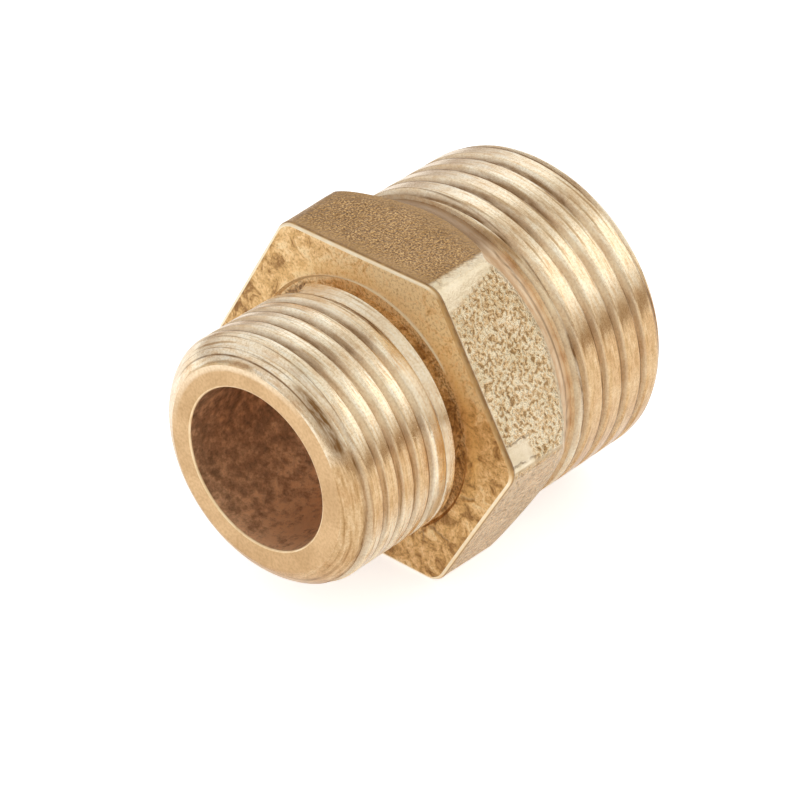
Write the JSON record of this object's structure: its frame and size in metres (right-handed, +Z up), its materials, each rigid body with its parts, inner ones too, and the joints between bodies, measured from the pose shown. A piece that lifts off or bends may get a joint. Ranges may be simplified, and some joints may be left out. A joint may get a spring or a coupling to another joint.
{
  "type": "brass nipple adapter",
  "caption": "Reducing hex nipple with a small outside pipe thread, a larger one, and a stepped through bore, to join female pipe fittings of unlike size.",
  "frame": {"origin": "on the axis of the bore, in the plane of the hexagon's face beside the small thread", "axes": "+X along the axis towards the large thread, +Z up and square to the upper spanner flat, so the part lies on the lower flat"},
  "size_m": [0.026, 0.024, 0.021],
  "materials": {
    "brass": "turned bright on the threads and ends, cast and blasted grain on the hexagon's flats"
  },
  "bodies": {
    "root": {"nipple_body": "brass"}
  },
  "joints": []
}
